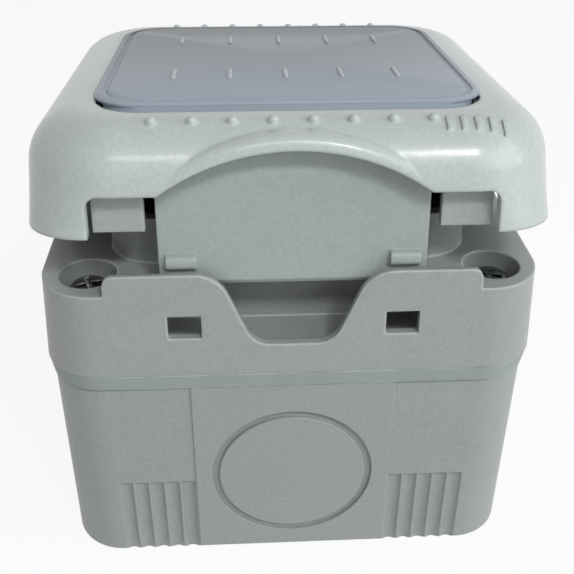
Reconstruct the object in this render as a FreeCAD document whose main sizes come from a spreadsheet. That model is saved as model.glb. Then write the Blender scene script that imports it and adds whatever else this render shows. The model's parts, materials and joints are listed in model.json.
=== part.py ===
import FreeCAD, Part
import math
import os
import re
import Sketcher

# Weatherproof socket enclosure with a hinged lid and a smoked window.
# Frame: +Z points out of the wall, towards the lid. The origin is the centre of the base's back face.
# -Y is the latch side. The lid group is drawn closed, then turned open to its resting angle.

DIMENSIONS = [
    # base box
    ("base_width", 83.0), ("base_depth", 82.2), ("base_height", 39.5), ("base_wall", 2.2),
    ("base_floor", 2.5), ("base_corner", 9.5), ("base_edge_radius", 0.8), ("panel_width", 35.0),
    ("panel_proud", 0.3), ("knockout_radius", 14.5), ("knockout_groove", 1.3),
    ("knockout_depth", 0.8), ("knockout_level", 18.9), ("flute_pitch", 2.82),
    ("flute_radius", 1.35), ("flute_offset", 0.55), ("flute_height", 17.4), ("flute_margin", 0.2),
    ("screw_inset", 7.9), ("screw_front_inset", 7.5), ("pillar_wall", 2.3),
    ("fixing_spacing", 60.0), ("fixing_hole_radius", 2.25),
    # gasket
    ("gasket_height", 3.1), ("gasket_inset", 0.05), ("gasket_draft", 9.0), ("gasket_band", 3.6),
    # front frame
    ("frame_overhang", 0.7), ("frame_front_overhang", 1.1), ("frame_draft", 3.6),
    ("frame_wall", 2.1), ("frame_height", 15.1), ("deck_thickness", 2.0),
    ("latch_wall_width", 60.6), ("latch_wall_rise", 3.5), ("latch_wall_corner", 1.8),
    ("collar_inset", 11.5), ("collar_wall", 2.0), ("collar_corner", 8.0), ("collar_rise", 8.3),
    ("channel_gap", 0.7), ("channel_drop", 11.2), ("channel_wall", 1.6), ("scoop_top_width", 24.4),
    ("scoop_bottom_width", 13.1), ("scoop_drop", 13.0), ("scoop_radius", 6.0),
    ("scoop_floor_radius", 4.2), ("window_inner", 15.0), ("window_outer", 20.5),
    ("window_drop", 8.0), ("window_height", 4.2), ("pocket_gap", 0.45), ("screw_seat_depth", 5.7),
    ("pocket_wall", 1.45),
    # fasteners
    ("screw_radius", 2.0), ("screw_length", 22.0), ("screw_head_radius", 3.8),
    ("screw_head_height", 2.7), ("washer_lip", 0.5), ("washer_thickness", 1.0),
    ("insert_wall", 0.9), ("insert_length", 9.0), ("fit_clearance", 0.05), ("screw_clearance", 0.3),
    # hinge
    ("hinge_stand_off", 2.0), ("hinge_rise", 1.8), ("hinge_barrel_radius", 2.6),
    ("hinge_pin_radius", 1.0), ("hinge_lug_start", 20.0), ("hinge_lug_length", 6.0),
    ("hinge_side_gap", 0.3), ("hinge_ear_length", 5.7), ("hinge_web_height", 8.0),
    ("lid_rest_angle", 6.8),
    # lid shell
    ("lid_set_in", 0.2), ("lid_corner", 10.4), ("lid_shoulder_corner", 16.0),
    ("lid_crown_corner", 19.0), ("lid_wall", 2.0), ("lid_ceiling", 2.0), ("lid_rim_gap", 0.3),
    ("lid_hollow", 8.4), ("lid_top_slope", 2.4), ("lid_edge_radius", 9.2),
    ("lid_inner_radius", 5.5), ("notch_gap", 1.1), ("notch_headroom", 3.1), ("notch_corner", 2.0),
    ("arch_half_chord", 19.6), ("arch_rise", 5.9), ("arch_spring", 7.4), ("brow_thickness", 2.4),
    ("brow_depth", 6.0), ("dot_radius", 0.9), ("dot_pitch", 6.1), ("dot_front_margin", 5.9),
    ("dot_back_margin", 8.8), ("dot_rise", 0.45), ("tick_rise", 0.25), ("tick_start", 23.5),
    ("tick_pitch", 2.2), ("tick_width", 0.8), ("tick_back", 6.0), ("tick_front", 3.5),
    ("brow_round", 2.0),
    # window pane
    ("pane_side_margin", 11.8), ("pane_front_margin", 11.4), ("pane_back_margin", 13.8),
    ("pane_corner", 7.0), ("pane_thickness", 2.2), ("pane_proud", 0.9), ("pane_edge_radius", 0.8),
    ("band_depth", 0.9), ("band_front", 2.0), ("band_side", 0.8), ("band_back", 0.9),
    ("pane_ledge", 2.6), ("pane_gap", 0.25), ("pane_seal", 0.5), ("ledge_lap", 1.5),
    ("mark_length", 6.6), ("mark_width", 0.9), ("mark_rise", 0.3), ("mark_pitch", 9.6),
    ("mark_front", -11.8), ("mark_back", 15.9),
    # liner, seal and flap
    ("lid_seal_height", 2.0), ("liner_thickness", 1.6), ("liner_inset", 2.7), ("liner_lap", 0.7),
    ("liner_corner", 10.0), ("ear_thickness", 3.0), ("ear_height", 4.8), ("ear_depth", 4.0),
    ("tab_stand", 0.6), ("tab_thickness", 1.6), ("tab_gap", 1.7), ("tab_side_gap", 0.4),
    ("seal_gap", 0.3), ("seal_band", 3.0), ("liner_screw_radius", 1.3), ("liner_screw_inset", 9.0),
    ("liner_screw_length", 3.2), ("liner_post_radius", 2.6), ("flap_width", 42.7),
    ("flap_wall_gap", 1.9), ("flap_thickness", 1.8), ("flap_drop", 9.3), ("flap_head_rise", 3.2),
    ("flap_pivot_depth", 1.6), ("flap_pivot_drop", 0.8), ("flap_barrel_radius", 1.5),
    ("flap_pin_radius", 0.8), ("flap_lead_in", 0.8), ("flap_clearance", 0.4), ("liner_step", 0.3),
    ("tab_head_drop", 3.5), ("root_set_back", 0.8), ("root_depth", 1.5), ("root_side_gap", 1.2),
    ("flap_lead_depth", 0.6), ("boss_inner_gap", 0.4), ("boss_outer_gap", 0.3), ("boss_lift", 1.6),
    ("boss_height", 2.5), ("boss_proud", 1.2),
    # inside
    ("plate_width", 58.0), ("plate_thickness", 2.0), ("plate_level", 28.0), ("plate_hole_gap", 0.4),
    ("post_spacing", 48.0), ("post_radius", 3.4), ("plate_screw_radius", 1.5),
    ("plate_screw_length", 10.0), ("socket_lip", 3.4), ("socket_flange_height", 2.2),
    ("socket_body_radius", 21.6), ("socket_foot", 11.0), ("socket_wall", 3.1),
    ("socket_well_depth", 8.0), ("contact_spacing", 19.0), ("contact_radius", 3.2),
    ("contact_bore", 2.4), ("earth_offset", 12.0), ("contact_roof", 2.0),
    ("terminal_screw_length", 4.0), ("terminal_screw_gap", 0.2), ("terminal_screw_level", 2.8),
    ("terminal_width", 9.0), ("terminal_height", 6.0), ("terminal_screw_radius", 1.4),
    # proportions of a pan head, as shares of its radius or height
    ("head_rim", 0.55), ("head_top", 0.72), ("recess_reach", 0.55), ("recess_half_slot", 0.13),
    ("recess_floor", 0.4), ("small_head", 1.9), ("terminal_head", 1.5),
    # how far a cutter runs past the surface that it opens
    ("overcut", 1.0),
]

# Sizes that follow others, so that what fits together stays together.
LINKED = {
    "deck_level": "base_height + gasket_height + frame_height",
    "frame_width": "base_width + 2 * frame_overhang",
    "frame_depth": "base_depth + 2 * frame_front_overhang",
    "frame_corner": "base_corner + frame_overhang",
    "lid_width": "frame_width - 2 * lid_set_in",
    "lid_depth": "frame_depth - 2 * lid_set_in",
    "channel_width": "flap_width + 2 * channel_gap",
    "collar_width": "frame_width - 2 * collar_inset",
    "collar_depth": "frame_depth - 2 * collar_inset",
    "screw_across": "base_width - 2 * screw_inset",
    "screw_along": "base_depth - 2 * screw_front_inset",
    "insert_radius": "screw_radius + insert_wall",
    "pillar_radius": "insert_radius + pillar_wall",
    "washer_radius": "screw_head_radius + washer_lip",
    "screw_pocket_radius": "washer_radius + pocket_gap",
    "screw_boss_radius": "screw_pocket_radius + pocket_wall",
    "window_foot": "deck_level - window_drop",
    "window_head": "window_foot + window_height",
    "hinge_y": "frame_depth / 2 + hinge_stand_off",
    "hinge_z": "deck_level + hinge_rise",
    "lid_top_level": "liner_level + lid_hollow",
    "notch_width": "latch_wall_width + 2 * notch_gap",
    "notch_height": "latch_wall_rise + notch_headroom",
    "dot_front_y": "-1 * lid_depth / 2 + dot_front_margin",
    "dot_back_y": "lid_depth / 2 - dot_back_margin",
    "pane_width": "lid_width - 2 * pane_side_margin",
    "pane_depth": "lid_depth - pane_front_margin - pane_back_margin",
    "pane_centre_y": "( pane_front_margin - pane_back_margin ) / 2",
    "liner_level": "deck_level + collar_rise + lid_seal_height",
    "liner_screw_across": "lid_width - 2 * liner_screw_inset",
    "liner_screw_along": "lid_depth - 2 * liner_screw_inset",
    "liner_opening_across": "collar_width - 2 * collar_wall - 2 * liner_lap",
    "liner_opening_along": "collar_depth - 2 * collar_wall - 2 * liner_lap",
    "flap_face_y": "-1 * frame_depth / 2 + frame_wall + flap_wall_gap",
    "flap_foot": "deck_level - flap_drop",
    "flap_pivot_y": "flap_face_y + flap_pivot_depth",
    "flap_pivot_z": "liner_level - flap_pivot_drop",
    "flap_head": "flap_pivot_z + flap_head_rise",
    "tab_face_y": "flap_face_y - tab_stand",
    "ear_inner": "flap_width / 2 + flap_clearance",
    "ear_outer": "ear_inner + ear_thickness",
    "tab_inner": "flap_width / 2 + tab_gap",
    "tab_outer": "notch_width / 2 - tab_side_gap",
    "boss_inner": "window_inner + boss_inner_gap",
    "boss_outer": "window_outer - boss_outer_gap",
    "boss_foot": "window_foot + boss_lift",
    "plate_hole_radius": "socket_body_radius + plate_hole_gap",
    "socket_flange_radius": "socket_body_radius + socket_lip",
    "socket_well_radius": "socket_body_radius - socket_wall",
}

doc = FreeCAD.newDocument("socket_enclosure")
sheet = doc.addObject("Spreadsheet::Sheet", "Dims")
for row, (alias, number) in enumerate(DIMENSIONS, start=1):
    sheet.set("A%d" % row, alias)
    sheet.set("B%d" % row, str(number))
    sheet.setAlias("B%d" % row, alias)
doc.recompute()


ALIASES = {alias for alias, number in DIMENSIONS}


def named(expression):
    """Put the sheet's name before each alias of an expression, and write out each linked size."""
    def written(match):
        word = match.group()
        if word in LINKED:
            return "( %s )" % named(LINKED[word])
        return "Dims." + word if word in ALIASES else word
    return re.sub(r"[a-z_]\w*", written, expression)


def value(expression):
    """The number that an expression has now."""
    result = sheet.evalExpression(named(expression))
    return float(getattr(result, "Value", result))


def bind(thing, prop, expression):
    """Tie one property of a document object to the sheet."""
    thing.setExpression(prop, named(expression))



def origin_plane(body, role):
    """One of a body's own origin planes."""
    return next(plane for plane in body.Origin.OriginFeatures if plane.Role == role)


def new_body(label):
    body = doc.addObject("PartDesign::Body", label)
    body.Label = label
    return body


def new_sketch(body, role, offset="0"):
    """A sketch on an origin plane, moved along that plane's normal (XZ looks along -Y)."""
    sketch = body.newObject("Sketcher::SketchObject", "sketch")
    sketch.AttachmentSupport = (origin_plane(body, role), [""])
    sketch.MapMode = "FlatFace"
    bind(sketch, "AttachmentOffset.Base.z", offset)
    return sketch


def tie(sketch, kind, *arguments):
    """A sketch dimension whose size is the last argument, an expression."""
    index = sketch.addConstraint(Sketcher.Constraint(kind, *arguments[:-1], value(arguments[-1])))
    sketch.setExpression("Constraints[%d]" % index, named(arguments[-1]))


def place_point(sketch, geometry, end, x, y):
    """Hold a point of the sketch at (x, y), on an axis where the coordinate is nothing."""
    for kind, axis, expression in (("DistanceX", -2, x), ("DistanceY", -1, y)):
        if expression == "0":
            sketch.addConstraint(Sketcher.Constraint("PointOnObject", geometry, end, axis))
        else:
            tie(sketch, kind, -1, 1, geometry, end, expression)


def circle(sketch, x, y, radius):
    centre = FreeCAD.Vector(value(x), value(y), 0)
    index = sketch.addGeometry(Part.Circle(centre, FreeCAD.Vector(0, 0, 1), value(radius)))
    place_point(sketch, index, 3, x, y)
    tie(sketch, "Radius", index, radius)


def polygon(sketch, points):
    """A closed outline through corner points, each given as two expressions."""
    corners = [FreeCAD.Vector(value(x), value(y), 0) for x, y in points]
    first = None
    count = len(points)
    for number in range(count):
        line = Part.LineSegment(corners[number], corners[(number + 1) % count])
        index = sketch.addGeometry(line)
        first = index if first is None else first
    for number in range(count):
        following = first + (number + 1) % count
        sketch.addConstraint(Sketcher.Constraint("Coincident", first + number, 2, following, 1))
        place_point(sketch, first + number, 1, *points[number])


def rounded_rectangle(sketch, half_x, half_y, radius, y_centre="0"):
    """A rectangle with round corners, its centre on the sketch's vertical axis."""
    a, b, r, c = value(half_x), value(half_y), value(radius), value(y_centre)
    starts = [(r - a, c - b), (a, c + r - b), (a - r, c + b), (-a, c + b - r)]
    ends = [(a - r, c - b), (a, c + b - r), (r - a, c + b), (-a, c + r - b)]
    centres = [(a - r, c + r - b), (a - r, c + b - r), (r - a, c + b - r), (r - a, c + r - b)]
    first = None
    for side in range(4):
        line = Part.LineSegment(FreeCAD.Vector(*starts[side], 0), FreeCAD.Vector(*ends[side], 0))
        index = sketch.addGeometry(line)
        first = index if first is None else first
        centre = FreeCAD.Vector(*centres[side], 0)
        bend = Part.Circle(centre, FreeCAD.Vector(0, 0, 1), r)
        turn = math.radians(90 * side - 90)
        sketch.addGeometry(Part.ArcOfCircle(bend, turn, turn + math.pi / 2))
    for side in range(4):
        line = first + 2 * side
        following = first + (2 * side + 2) % 8
        sketch.addConstraint(Sketcher.Constraint("Tangent", line, 2, line + 1, 1))
        sketch.addConstraint(Sketcher.Constraint("Tangent", line + 1, 2, following, 1))
        sketch.addConstraint(Sketcher.Constraint("Vertical" if side % 2 else "Horizontal", line))
        if side:
            sketch.addConstraint(Sketcher.Constraint("Equal", first + 1, line + 1))
    tie(sketch, "Radius", first + 1, radius)
    tie(sketch, "DistanceY", -1, 1, first, 1, "%s - ( %s )" % (y_centre, half_y))
    tie(sketch, "DistanceX", -1, 1, first + 2, 1, half_x)
    tie(sketch, "DistanceY", -1, 1, first + 4, 1, "%s + ( %s )" % (y_centre, half_y))
    tie(sketch, "DistanceX", -1, 1, first + 6, 1, "-1 * ( %s )" % half_x)


def feature(body, kind, sketch, length, against=False, both=False, taper=None):
    """A Pad or a Pocket that must add or take away material."""
    doc.recompute()
    before = body.Shape.Volume if not body.Shape.isNull() else 0.0
    step = body.newObject("PartDesign::" + kind, kind.lower())
    step.Profile = sketch
    bind(step, "Length", length)
    step.Reversed = against
    if both:
        step.Midplane = True
    if taper:
        bind(step, "TaperAngle", taper)
    body.Tip = step
    doc.recompute()
    change = body.Shape.Volume - before
    if (change <= 0) if kind == "Pad" else (change >= 0):
        raise RuntimeError("%s of %s changed the volume by %.3f" % (kind, body.Label, change))
    return step


def round_edges(body, radius, chosen):
    """Fillet the edges of the tip that the test picks by their middle point."""
    doc.recompute()
    base = body.Tip
    names = []
    for number, edge in enumerate(base.Shape.Edges, start=1):
        box = edge.BoundBox
        if chosen(box):
            names.append("Edge%d" % number)
    if not names:
        raise RuntimeError("no edge to round on " + body.Label)
    step = body.newObject("PartDesign::Fillet", "fillet")
    step.Base = (base, names)
    bind(step, "Radius", radius)
    body.Tip = step
    doc.recompute()
    return step


def box(name, x0, x1, y0, y1, z0, z1):
    solid = doc.addObject("Part::Box", name)
    for prop, low, high in (("Length", x0, x1), ("Width", y0, y1), ("Height", z0, z1)):
        bind(solid, prop, "( %s ) - ( %s )" % (high, low))
    for axis, low in (("x", x0), ("y", y0), ("z", z0)):
        bind(solid, "Placement.Base." + axis, low)
    return solid


AXES = {
    "x": FreeCAD.Rotation(FreeCAD.Vector(0, 1, 0), 90),
    "y": FreeCAD.Rotation(FreeCAD.Vector(1, 0, 0), -90),
    "z": FreeCAD.Rotation(),
}


def cylinder(name, radius, length, x, y, z, along="z"):
    """A cylinder that starts at (x, y, z) and runs the positive way along an axis."""
    solid = doc.addObject("Part::Cylinder", name)
    bind(solid, "Radius", radius)
    bind(solid, "Height", length)
    solid.Placement = FreeCAD.Placement(FreeCAD.Vector(), AXES[along])
    for axis, start in (("x", x), ("y", y), ("z", z)):
        bind(solid, "Placement.Base." + axis, start)
    return solid


def fuse(name, solids):
    joined = doc.addObject("Part::MultiFuse", name)
    joined.Shapes = solids
    return joined


def common(name, shapes):
    """What two or more objects share."""
    shared = doc.addObject("Part::MultiCommon", name)
    shared.Shapes = shapes
    return shared


def cut(name, base, tools):
    result = doc.addObject("Part::Cut", name)
    result.Base = base
    result.Tool = tools[0] if len(tools) == 1 else fuse(name + "_tools", tools)
    return result


def group(name, solids):
    """Separate solids of one kind that share a node."""
    compound = doc.addObject("Part::Compound", name)
    compound.Links = solids
    return compound


def tube(name, outer, inner, length, x, y, z):
    """A round tube along Z."""
    wall = cylinder(name + "_outside", outer, length, x, y, z)
    bore = cylinder(name + "_bore", inner, "( %s ) + 2 * overcut" % length, x, y, "( %s ) - overcut" % z)
    return cut(name, wall, [bore])


def pan_screw(name, shank, length, head, height, placement):
    """A pan-head screw with a cross recess, its seat at the placement and its head along +Z there."""
    pin = cylinder(name + "_shank", shank, length, "0", "0", "-1 * ( %s )" % length)
    cap = cylinder(name + "_cap", head, height + " * head_rim", "0", "0", "0")
    crown = doc.addObject("Part::Cone", name + "_crown")
    bind(crown, "Radius1", head)
    bind(crown, "Radius2", head + " * head_top")
    bind(crown, "Height", height + " * ( 1 - head_rim )")
    bind(crown, "Placement.Base.z", height + " * head_rim")
    reach = head + " * recess_reach"
    slot = head + " * recess_half_slot"
    floor = height + " * recess_floor"
    top = height + " + overcut"
    first = box(name + "_slot_x", "-1 * " + reach, reach, "-1 * " + slot, slot, floor, top)
    second = box(name + "_slot_y", "-1 * " + slot, slot, "-1 * " + reach, reach, floor, top)
    screw = cut(name, fuse(name + "_blank", [pin, cap, crown]), [first, second])
    screw.Placement = placement
    return screw


SIDES = ["-1", "1"]
UPRIGHT = FreeCAD.Rotation()


def at(x, y, z, rotation=UPRIGHT):
    return FreeCAD.Placement(FreeCAD.Vector(value(x), value(y), value(z)), rotation)


def side(sign, expression):
    return "%s * ( %s )" % (sign, expression)


def corners(across, along):
    """The four corners of a rectangle about the middle, as pairs of expressions."""
    signs = [("-1", "-1"), ("1", "-1"), ("1", "1"), ("-1", "1")]
    return [(side(x, across + " / 2"), side(y, along + " / 2")) for x, y in signs]


def span(sign, near, far):
    """The ends, low first, of a stretch from near to far on one side of the middle."""
    return (near, far) if sign == "1" else (side("-1", far), side("-1", near))


def turn_about(axis, degrees):
    return FreeCAD.Rotation(FreeCAD.Vector(*axis), degrees)


def rectangle(half_x, y0, y1):
    """The corners of a rectangle that is centred across."""
    return [(side("-1", half_x), y0), (half_x, y0), (half_x, y1), (side("-1", half_x), y1)]


nodes = []


def finished(thing, label, lid=False):
    """Name a sub-part, and turn it with the lid when it belongs to the lid."""
    thing.Label = label
    if lid:
        doc.recompute()
        thing.Placement = LID_REST.multiply(thing.Placement)
    nodes.append(thing)
    return thing


def lid_rest():
    """The turn that opens the closed lid to its resting angle about the hinge pins."""
    turn = FreeCAD.Rotation(FreeCAD.Vector(1, 0, 0), -value("lid_rest_angle"))
    pivot = FreeCAD.Vector(0, value("hinge_y"), value("hinge_z"))
    return FreeCAD.Placement(pivot - turn.multVec(pivot), turn)


LID_REST = lid_rest()
FRAME_FOOT = "base_height + gasket_height"
DECK = "deck_level"
FRAME_FRONT = "-1 * frame_depth / 2"
LID_RIM = DECK + " + lid_rim_gap"
WALL_TOP = DECK + " + latch_wall_rise"
WALL_END = "latch_wall_width / 2"
SCOOP_FLOOR = WALL_TOP + " - scoop_drop"
TOUCH = 0.01


def add_side_details(body, section_plane, face_plane, reach, across):
    """A raised panel with a knock-out ring and five flutes on each side of it, on two opposite walls."""
    panel = new_sketch(body, section_plane)
    face = reach("panel_proud")
    foot = reach("-1 * base_edge_radius")
    root = reach("-1 * base_wall / 2")
    polygon(panel, [
        (face, "base_height"), (face, "base_edge_radius"), (foot, "0"),
        (foot, "base_floor / 2"), (root, "base_edge_radius"), (root, "base_height"),
    ])
    raised = feature(body, "Pad", panel, "panel_width", both=True)
    ring = new_sketch(body, face_plane, side("-1", face) if across else face)
    circle(ring, "0", "knockout_level", "knockout_radius")
    circle(ring, "0", "knockout_level", "knockout_radius - knockout_groove")
    groove = feature(body, "Pocket", ring, "knockout_depth")
    flutes = new_sketch(body, "XY_Plane")
    for sign in SIDES:
        for number in range(5):
            place = "panel_width / 2 + flute_margin + flute_radius + flute_pitch * %d" % number
            middle = (side(sign, place), reach("flute_offset"))
            circle(flutes, *(middle if across else middle[::-1]), "flute_radius")
    fluting = feature(body, "Pocket", flutes, "flute_height", against=True)
    pair = body.newObject("PartDesign::PolarPattern", "opposite_walls")
    pair.Originals = [raised, groove, fluting]
    pair.Axis = (next(line for line in body.Origin.OriginFeatures if line.Role == "Z_Axis"), [""])
    pair.Angle = 360
    pair.Occurrences = 2
    body.Tip = pair


def make_base():
    body = new_body("base_box")
    plan = new_sketch(body, "XY_Plane")
    rounded_rectangle(plan, "base_width / 2", "base_depth / 2", "base_corner")
    feature(body, "Pad", plan, "base_height")
    round_edges(body, "base_edge_radius", lambda edge: edge.ZMax < 0.01)
    front = lambda out: side("-1", "base_depth / 2 + " + out)
    right = lambda out: "base_width / 2 + " + out
    add_side_details(body, "YZ_Plane", "XZ_Plane", front, True)
    add_side_details(body, "XZ_Plane", "YZ_Plane", right, False)
    hollow = new_sketch(body, "XY_Plane", "base_floor")
    corner = "base_corner - base_wall"
    rounded_rectangle(hollow, "base_width / 2 - base_wall", "base_depth / 2 - base_wall", corner)
    feature(body, "Pocket", hollow, "base_height", against=True)
    pillars = new_sketch(body, "XY_Plane", "base_floor / 2")
    posts = new_sketch(body, "XY_Plane", "base_floor / 2")
    bores = new_sketch(body, "XY_Plane", "base_height")
    post_bores = new_sketch(body, "XY_Plane", "plate_level")
    for middle in corners("screw_across", "screw_along"):
        circle(pillars, *middle, "pillar_radius")
        circle(bores, *middle, "insert_radius + fit_clearance")
    for middle in corners("post_spacing", "post_spacing"):
        circle(posts, *middle, "post_radius")
        circle(post_bores, *middle, "plate_screw_radius + fit_clearance")
    feature(body, "Pad", pillars, "base_height - base_floor / 2")
    feature(body, "Pad", posts, "plate_level - base_floor / 2")
    feature(body, "Pocket", bores, "insert_length + screw_radius + overcut")
    feature(body, "Pocket", post_bores, "plate_screw_length")
    fixings = new_sketch(body, "XY_Plane")
    for sign in SIDES:
        circle(fixings, side(sign, "fixing_spacing / 2"), "0", "fixing_hole_radius")
    feature(body, "Pocket", fixings, "base_floor + overcut", against=True)
    finished(body, "base_box")


def make_gasket():
    body = new_body("frame_gasket")
    half_x = "frame_width / 2 - gasket_inset"
    half_y = "frame_depth / 2 - gasket_inset"
    ring = new_sketch(body, "XY_Plane", FRAME_FOOT)
    rounded_rectangle(ring, half_x, half_y, "frame_corner")
    inner_corner = "frame_corner - gasket_band"
    rounded_rectangle(ring, half_x + " - gasket_band", half_y + " - gasket_band", inner_corner)
    feature(body, "Pad", ring, "gasket_height", against=True, taper="-1 * gasket_draft")
    ears = new_sketch(body, "XY_Plane", "base_height")
    holes = new_sketch(body, "XY_Plane", "base_height")
    for middle in corners("screw_across", "screw_along"):
        circle(ears, *middle, "pillar_radius")
        circle(holes, *middle, "screw_radius + screw_clearance")
    feature(body, "Pad", ears, "gasket_height")
    feature(body, "Pocket", holes, "gasket_height", against=True)
    finished(body, "frame_gasket")


def make_front_frame():
    body = new_body("front_frame")
    half_x, half_y = "frame_width / 2", "frame_depth / 2"
    outside = new_sketch(body, "XY_Plane", FRAME_FOOT)
    rounded_rectangle(outside, half_x, half_y, "frame_corner")
    feature(body, "Pad", outside, "frame_height + latch_wall_rise", taper="-1 * frame_draft")
    trim_to_deck(body)
    hollow = new_sketch(body, "XY_Plane", FRAME_FOOT)
    corner = "frame_corner - frame_wall"
    rounded_rectangle(hollow, half_x + " - frame_wall", half_y + " - frame_wall", corner)
    feature(body, "Pocket", hollow, "frame_height - deck_thickness", against=True)
    add_collar(body)
    add_channel_and_screw_bosses(body)
    cut_latch_wall(body)
    add_hinge_lugs(body)
    round_latch_wall(body)
    finished(body, "front_frame")


def trim_to_deck(body):
    """Cut the block down to the deck, apart from the raised latch wall along its front."""
    above = new_sketch(body, "XY_Plane", DECK)
    wall_x, wall_back = "latch_wall_width / 2", FRAME_FRONT + " + frame_wall"
    polygon(above, [
        ("-1 * frame_width", "-1 * frame_depth"), (side("-1", wall_x), "-1 * frame_depth"),
        (side("-1", wall_x), wall_back), (wall_x, wall_back), (wall_x, "-1 * frame_depth"),
        ("frame_width", "-1 * frame_depth"), ("frame_width", "frame_depth"),
        ("-1 * frame_width", "frame_depth"),
    ])
    feature(body, "Pocket", above, "latch_wall_rise + overcut", against=True)


def add_collar(body):
    """The opening in the deck, and the wall round it that the lid's seal meets."""
    collar_x, collar_y = "collar_width / 2", "collar_depth / 2"
    opening = new_sketch(body, "XY_Plane", DECK)
    lap = " - collar_wall / 2"
    rounded_rectangle(opening, collar_x + lap, collar_y + lap, "collar_corner" + lap)
    feature(body, "Pocket", opening, "deck_thickness")
    collar = new_sketch(body, "XY_Plane", FRAME_FOOT)
    rounded_rectangle(collar, collar_x, collar_y, "collar_corner")
    wall = " - collar_wall"
    rounded_rectangle(collar, collar_x + wall, collar_y + wall, "collar_corner" + wall)
    feature(body, "Pad", collar, "frame_height + collar_rise")


def add_channel_and_screw_bosses(body):
    """The trough that takes the flap, and four bosses with a pocket for each screw's head."""
    bosses = new_sketch(body, "XY_Plane", FRAME_FOOT)
    pockets = new_sketch(body, "XY_Plane", DECK)
    holes = new_sketch(body, "XY_Plane", FRAME_FOOT)
    for middle in corners("screw_across", "screw_along"):
        circle(bosses, *middle, "screw_boss_radius")
        circle(pockets, *middle, "screw_pocket_radius")
        circle(holes, *middle, "screw_radius + screw_clearance")
    feature(body, "Pad", bosses, "frame_height")
    trough = new_sketch(body, "XY_Plane", DECK)
    front, back = FRAME_FRONT + " + frame_wall / 2", "-1 * collar_depth / 2 + collar_wall / 2"
    polygon(trough, rectangle("channel_width / 2 + channel_wall", front, back))
    feature(body, "Pad", trough, "channel_drop + channel_wall", against=True)
    feature(body, "Pocket", pockets, "screw_seat_depth")
    feature(body, "Pocket", holes, "frame_height", against=True)
    channel = new_sketch(body, "XY_Plane", DECK)
    front, back = FRAME_FRONT + " + frame_wall", "-1 * collar_depth / 2"
    polygon(channel, rectangle("channel_width / 2", front, back))
    feature(body, "Pocket", channel, "channel_drop")


def cut_latch_wall(body):
    """The front wall's scoop for a fingertip, and two windows for the flap's bosses."""
    scoop = new_sketch(body, "XZ_Plane", "frame_depth / 2 + overcut")
    polygon(scoop, [
        ("scoop_top_width / 2", WALL_TOP), ("scoop_top_width / 2", WALL_TOP + " + overcut"),
        ("-1 * scoop_top_width / 2", WALL_TOP + " + overcut"), ("-1 * scoop_top_width / 2", WALL_TOP),
        ("-1 * scoop_bottom_width / 2", SCOOP_FLOOR), ("scoop_bottom_width / 2", SCOOP_FLOOR),
    ])
    feature(body, "Pocket", scoop, "frame_wall + 2 * overcut")
    windows = new_sketch(body, "XZ_Plane", "frame_depth / 2 + overcut")
    for sign in SIDES:
        near, far = span(sign, "window_inner", "window_outer")
        foot, head = "window_foot", "window_head"
        polygon(windows, [(near, foot), (far, foot), (far, head), (near, head)])
    feature(body, "Pocket", windows, "frame_wall + 2 * overcut")


def add_hinge_lugs(body):
    """Two lugs on the rear wall, bored for the hinge pins."""
    rear = "frame_depth / 2 - frame_wall / 2"
    for sign in SIDES:
        start = span(sign, "hinge_lug_start", "hinge_lug_start + hinge_lug_length")[0]
        barrel = new_sketch(body, "YZ_Plane", start)
        circle(barrel, "hinge_y", "hinge_z", "hinge_barrel_radius")
        feature(body, "Pad", barrel, "hinge_lug_length")
        web = new_sketch(body, "YZ_Plane", start)
        polygon(web, [
            (rear, DECK + " - hinge_web_height"), ("hinge_y + hinge_barrel_radius", "hinge_z"),
            ("hinge_y - hinge_barrel_radius", "hinge_z"), (rear, DECK + " - deck_thickness / 2"),
        ])
        feature(body, "Pad", web, "hinge_lug_length")
        bore = new_sketch(body, "YZ_Plane", start + " - overcut")
        circle(bore, "hinge_y", "hinge_z", "hinge_pin_radius + fit_clearance")
        feature(body, "Pocket", bore, "hinge_lug_length + 2 * overcut", against=True)


def round_latch_wall(body):
    """Round the scoop's corners and the ends of the raised wall."""
    def across_wall(edge, places):
        """True for an edge through the front wall at one of the (x, z) places."""
        if edge.XLength > TOUCH or edge.ZLength > TOUCH or edge.YMax > front_limit:
            return False
        gaps = [(abs(abs(edge.XMin) - value(x)), abs(edge.ZMin - value(z))) for x, z in places]
        return any(max(gap) < TOUCH for gap in gaps)

    front_limit = value(FRAME_FRONT + " + frame_wall") + TOUCH
    brim = [("scoop_top_width / 2", WALL_TOP)]
    round_edges(body, "scoop_radius", lambda edge: across_wall(edge, brim))
    floor = [("scoop_bottom_width / 2", SCOOP_FLOOR)]
    round_edges(body, "scoop_floor_radius", lambda edge: across_wall(edge, floor))
    round_edges(body, "latch_wall_corner", lambda edge: across_wall(edge, [(WALL_END, WALL_TOP)]))


def make_frame_fasteners():
    """Corner screws with their sealing washers, and the threaded inserts that they turn into."""
    screws, washers, inserts = [], [], []
    seat = DECK + " - screw_seat_depth"
    head = ("screw_head_radius", "screw_head_height")
    bore = "screw_radius + fit_clearance"
    for number, (x, y) in enumerate(corners("screw_across", "screw_along")):
        place = at(x, y, seat + " + washer_thickness", turn_about((0, 0, 1), 20 + 50 * number))
        screws.append(pan_screw("frame_screw_%d" % number, "screw_radius", "screw_length", *head, place))
        washers.append(tube("washer_%d" % number, "washer_radius", bore, "washer_thickness", x, y, seat))
        foot = "base_height - insert_length"
        inserts.append(tube("insert_%d" % number, "insert_radius", bore, "insert_length", x, y, foot))
    finished(group("screws", screws), "frame_screws")
    finished(group("washers", washers), "sealing_washers")
    finished(group("inserts", inserts), "threaded_inserts")


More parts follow.
